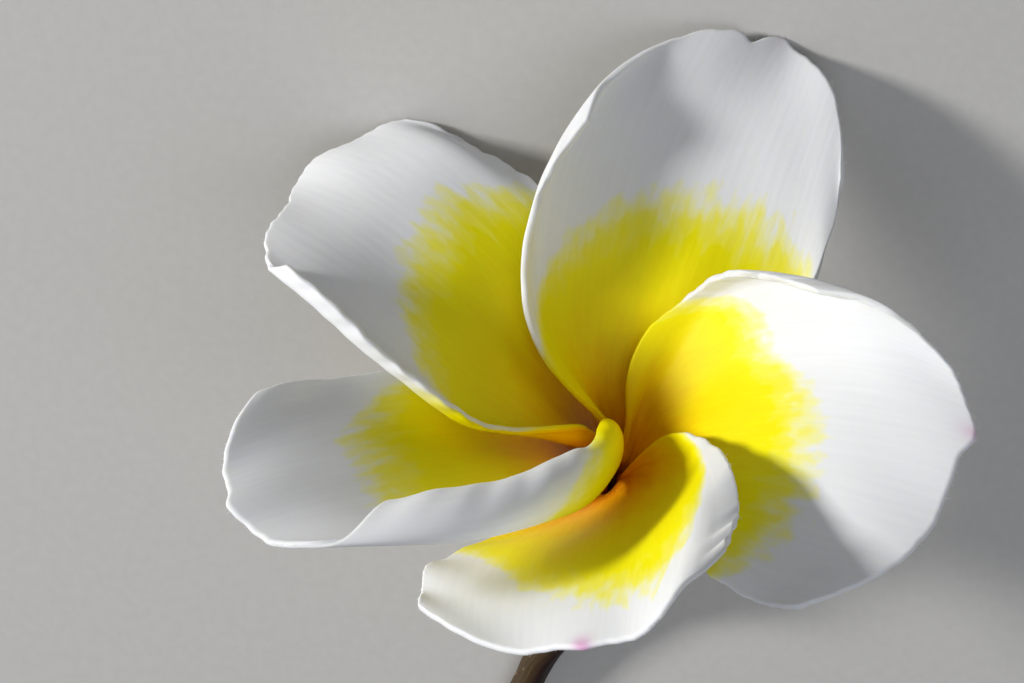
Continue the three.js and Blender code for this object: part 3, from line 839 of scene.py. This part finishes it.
# %% Petal material
SCALLOP_WIDTH, SCALLOP_LENGTH, SCALLOP_DEPTH = 1.6, 2.6, 0.22
STREAK_WIDTH, STREAK_LENGTH, STREAK_DEPTH = 0.5, 9.0, 0.03
CLOUD_DEPTH = 0.12
HEART_SHIFT = 0.225
VEIN_TINT = 0.3

petal_wax, tree = new_material("petal_wax")
place = unwrapped(tree, "blade")
streaks = drawn_out(tree, place, STREAK_WIDTH, STREAK_LENGTH, 4.0)
scallops = drawn_out(tree, place, SCALLOP_WIDTH, SCALLOP_LENGTH, 2.5)
cloud = noise(tree, place, 0.16, 2.0)
grain = noise(tree, place, 9.0, 2.0)

scalloped = added(tree, scallops, SCALLOP_DEPTH, stored(tree, "gold"))
streaked = added(tree, streaks, STREAK_DEPTH, scalloped)
clouded = added(tree, cloud, CLOUD_DEPTH, streaked)
reach = add(tree, "ShaderNodeMath", {0: clouded, 1: HEART_SHIFT}, operation="SUBTRACT").outputs[0]
heart = ramp(tree, reach, [
    (0.0, "#A85C00"), (0.1, "#DC9000"), (0.22, "#F2B600"), (0.38, "#F8D000"), (0.58, "#FAE600"),
    (0.81, "#FAF000"), (0.89, "#F9F25A"), (0.95, "#F5F4B4"), (1.0, "#EFF1F5")])
vein_tint = ramp(tree, streaks, [(0.3, "#F1F1F1"), (0.7, "#FFFFFF")])
veined = painted(tree, VEIN_TINT, heart, vein_tint, "MULTIPLY")
blushed = painted(tree, stored(tree, "blush"), veined, linear("#D8A0CC"))

shine = add(tree, "ShaderNodeMapRange", {"Value": grain, "To Min": 0.42, "To Max": 0.56}).outputs[0]
finish(petal_wax, petal_objects.values(), {
    "Base Color": blushed, "Roughness": shine, "IOR": 1.42, "Subsurface Weight": 0.3,
    "Subsurface Radius": (1.0, 0.9, 0.6), "Subsurface Scale": 0.7 * MM, "Specular IOR Level": 0.2,
    "Normal": relief(tree, added(tree, streaks, 0.7, grain), 0.25, 0.05)})

# %% [markdown]
# The hairs are clear and nearly white, so one plain finish does for them: each is far thinner
# than any pattern that it could carry.

# %% Hair material
hair_glass, tree = new_material("petal_hair")
finish(hair_glass, hair_objects, {
    "Base Color": linear("#F4F3EE"), "Roughness": 0.35, "IOR": 1.5, "Subsurface Weight": 0.3,
    "Subsurface Scale": 0.3 * MM})

# %% [markdown]
# ## Tube, pistil and stamens
#
# The tube is orange yellow in its mouth and fades to a pale yellow-green down its length, with
# fine lengthwise streaks. Its height is stored on it, since it lies at a slant. Pistil and
# stamens share one grainy finish, paler than the tube, as pollen is.

# %% Tube, pistil and stamen materials
tube_skin, tree = new_material("tube_skin")
streaks = drawn_out(tree, unwrapped(tree, "skin"), 7, 0.45, 4.0)
tube_colour = ramp(tree, added(tree, streaks, 0.16, stored(tree, "height")), [
    (0.0, "#A9B45C"), (0.3, "#C6CB72"), (0.62, "#DCD478"), (0.86, "#E2C83A"), (1.0, "#D99A10")])
finish(tube_skin, [tube], {
    "Base Color": tube_colour, "Roughness": 0.48, "IOR": 1.42, "Subsurface Weight": 0.25,
    "Subsurface Scale": 0.7 * MM, "Specular IOR Level": 0.25,
    "Normal": relief(tree, streaks, 0.3, 0.05)})

pollen_skin, tree = new_material("pollen_skin")
dust = noise(tree, in_object(tree), 2600.0, 3.0)
finish(pollen_skin, [stamens, pistil], {
    "Base Color": ramp(tree, dust, [(0.3, "#B7B765"), (0.7, "#E6DFA0")]),
    "Roughness": 0.7, "IOR": 1.42, "Normal": relief(tree, dust, 0.4, 0.04)})

# %% [markdown]
# ## Calyx and stalk
#
# The calyx is a dull green, mottled, with rims that flush red. The stalk's skin is a dark
# brownish red on one side and olive on the other, where the light has reached it less, with
# short lengthwise wrinkles and pale pores. Where it was picked the cut shows pale green pith.

# %% Calyx and stalk materials
calyx_skin, tree = new_material("calyx_skin")
mottle = noise(tree, in_object(tree), 700.0, 4.0)
calyx_colour = ramp(tree, added(tree, mottle, 0.5, stored(tree, "flush")), [
    (0.15, "#5D6B2E"), (0.5, "#7C8240"), (0.85, "#8A4A32"), (1.0, "#7A2E26")])
finish(calyx_skin, [calyx], {
    "Base Color": calyx_colour, "Roughness": 0.5, "IOR": 1.42, "Subsurface Weight": 0.1,
    "Subsurface Scale": 0.5 * MM, "Normal": relief(tree, mottle, 0.3, 0.05)})

stalk_skin, tree = new_material("stalk_skin")
place = unwrapped(tree, "skin")
wrinkles = drawn_out(tree, place, 5, 0.5, 5.0)
bark = ramp(tree, added(tree, wrinkles, 0.5, stored(tree, "olive")), [
    (0.15, "#1A0705"), (0.45, "#30100A"), (0.8, "#44341A"), (1.0, "#5C582C")])
pores = add(tree, "ShaderNodeTexVoronoi", {"Vector": place, "Scale": 0.7}).outputs["Distance"]
pale_spot = add(tree, "ShaderNodeMapRange", {
    "Value": pores, "From Min": 0.1, "From Max": 0.17, "To Min": 0.6, "To Max": 0.0}).outputs[0]
pored = painted(tree, pale_spot, bark, linear("#8A6A4A"))
ended = painted(tree, stored(tree, "cut"), pored, linear("#A9A86A"))
finish(stalk_skin, [stalk], {
    "Base Color": ended, "Roughness": 0.5, "IOR": 1.42, "Normal": relief(tree, wrinkles, 0.5, 0.1)})

# %% [markdown]
# ## Floor, light and camera
#
# The flower lies on a plain pale floor. A soft light stands to the left of the camera and
# rakes across the petals, so that each rolled margin shades its own petal. A wide dim one
# fills the shadows. The camera looks down into the flower along a line that leans 35 degrees
# from its axis. It stands about five times the flower's width away, with a long lens.

# %% Floor
FLOOR_HALF = 2.0
FLOOR_GAP = 0.02
floor_corners = [(x * FLOOR_HALF, y * FLOOR_HALF, 0) for x, y in ((-1, -1), (1, -1), (1, 1), (-1, 1))]
floor_mesh = bpy.data.meshes.new("floor")
floor_mesh.from_pydata(floor_corners, [], [(0, 1, 2, 3)])
floor = bpy.data.objects.new("floor", floor_mesh)
bpy.context.scene.collection.objects.link(floor)
floor.location.z = -FLOOR_GAP * MM
floor_paint, tree = new_material("floor_paint")
fibres = noise(tree, in_object(tree), 900.0, 3.0)
paper = ramp(tree, fibres, [(0.3, "#C7C6C4"), (0.7, "#CBCAC8")])
finish(floor_paint, [floor], {"Base Color": paper, "Roughness": 0.7})

# %% Camera
VIEW_LEAN = math.radians(35)
CAMERA_DISTANCE = 383.0
CAMERA_SHIFT_RIGHT = -9.9
CAMERA_SHIFT_UP = 12.65
FOCAL_MM = 134.65
SENSOR_MM = 36.0

view_right = np.array([1.0, 0.0, 0.0])
view_up = np.array([0.0, math.cos(VIEW_LEAN), math.sin(VIEW_LEAN)])
view_back = np.array([0.0, -math.sin(VIEW_LEAN), math.cos(VIEW_LEAN)])


def in_view(right, up, back):
    """A point given along the camera's own axes from the flower's throat, in metres."""
    point = right * view_right + up * view_up + back * view_back
    return (BLOOM_TURN @ point + THROAT_AT) * MM


camera = bpy.data.objects.new("camera", bpy.data.cameras.new("camera"))
bpy.context.scene.collection.objects.link(camera)
turn = Matrix([BLOOM_TURN @ view_right, BLOOM_TURN @ view_up, BLOOM_TURN @ view_back]).transposed()
camera_at = in_view(CAMERA_SHIFT_RIGHT, CAMERA_SHIFT_UP, CAMERA_DISTANCE)
camera.matrix_world = Matrix.Translation(camera_at) @ turn.to_4x4()
camera.data.lens = FOCAL_MM
camera.data.sensor_width = SENSOR_MM
bpy.context.scene.camera = camera

# %% Lights
WORLD_STRENGTH = 0.14


def area_light(name, right, up, back, size, power, colour):
    """A square light at a place in the view, turned to face the flower."""
    light = bpy.data.lights.new(name, "AREA")
    light.size = size
    light.energy = power
    light.color = linear(colour)[:3]
    obj = bpy.data.objects.new(name, light)
    bpy.context.scene.collection.objects.link(obj)
    place = in_view(right, up, back)
    target = Vector(in_view(0, 0, 0))
    obj.location = place
    obj.rotation_euler = (Vector(place) - target).to_track_quat("Z", "Y").to_euler()


area_light("key", -750, 130, 330, 0.14, 6.4, "#FFFDF8")
area_light("fill", 150, -380, 640, 0.6, 1.7, "#F4F7FF")
world = bpy.data.worlds.new("studio")
world.use_nodes = True
sky = world.node_tree.nodes["Background"].inputs
sky["Color"].default_value = linear("#F2F4F8")
sky["Strength"].default_value = WORLD_STRENGTH
bpy.context.scene.world = world

# %% [markdown]
# Blender's default film look softens strong colours, and a plumeria's yellow is as strong as
# yellow gets. The standard look keeps the colours that were picked.

# %% Film look
bpy.context.scene.view_settings.view_transform = "Standard"
